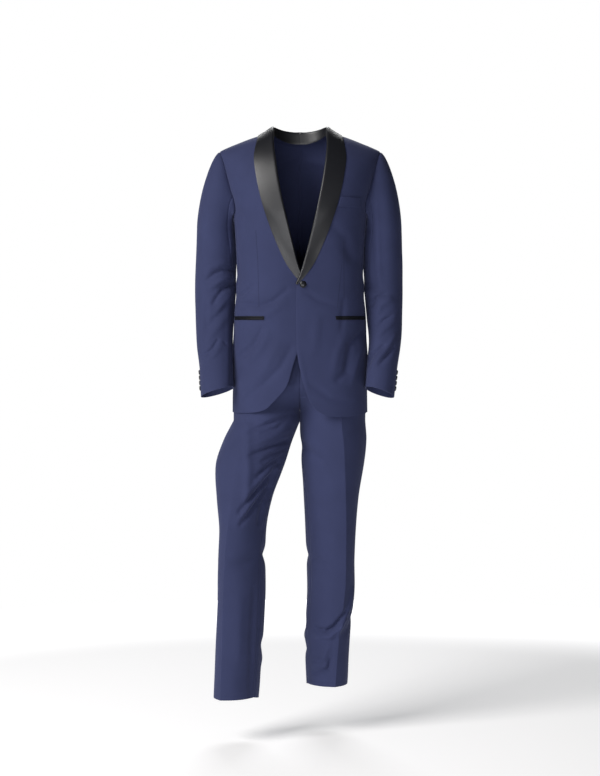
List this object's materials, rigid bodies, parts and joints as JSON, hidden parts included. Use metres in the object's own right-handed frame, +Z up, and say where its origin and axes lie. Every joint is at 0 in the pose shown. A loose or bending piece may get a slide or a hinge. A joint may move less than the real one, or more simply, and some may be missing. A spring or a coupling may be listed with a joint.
{
  "type": "tuxedo",
  "caption": "Shawl-collar dinner jacket with a covered front button, worn over matching creased trousers, hollow as on a standing figure.",
  "frame": {"origin": "the nape: midway between the neck ends of the shoulder seams, at the height of the back neckline, where the jacket is held up", "axes": "+Z up, -Y out of the front, +X to the garment's own left side"},
  "size_m": [0.5326, 0.3086, 1.4541],
  "materials": {
    "navy_wool": "navy wool twill, matt with a soft sheen",
    "black_satin": "black satin, smooth with a broad soft shine",
    "black_button": "black polyester resin, polished"
  },
  "bodies": {
    "root": {"jacket_front_left": "navy_wool", "jacket_front_right": "navy_wool", "jacket_side_left": "navy_wool", "jacket_side_right": "navy_wool", "jacket_back_left": "navy_wool", "jacket_back_right": "navy_wool", "sleeve_top_left": "navy_wool", "sleeve_under_left": "navy_wool", "sleeve_top_right": "navy_wool", "sleeve_under_right": "navy_wool", "chest_welt": "navy_wool", "trouser_front_left": "navy_wool", "trouser_front_right": "navy_wool", "trouser_back_left": "navy_wool", "trouser_back_right": "navy_wool", "trouser_waistband": "navy_wool", "trouser_fly": "navy_wool", "shawl_collar_left": "black_satin", "shawl_collar_right": "black_satin", "pocket_jet_upper_left": "black_satin", "pocket_jet_lower_left": "black_satin", "pocket_jet_upper_right": "black_satin", "pocket_jet_lower_right": "black_satin", "front_button": "black_satin", "cuff_button_left_1": "black_button", "cuff_button_left_2": "black_button", "cuff_button_left_3": "black_button", "cuff_button_left_4": "black_button", "cuff_button_right_1": "black_button", "cuff_button_right_2": "black_button", "cuff_button_right_3": "black_button", "cuff_button_right_4": "black_button"}
  },
  "joints": []
}
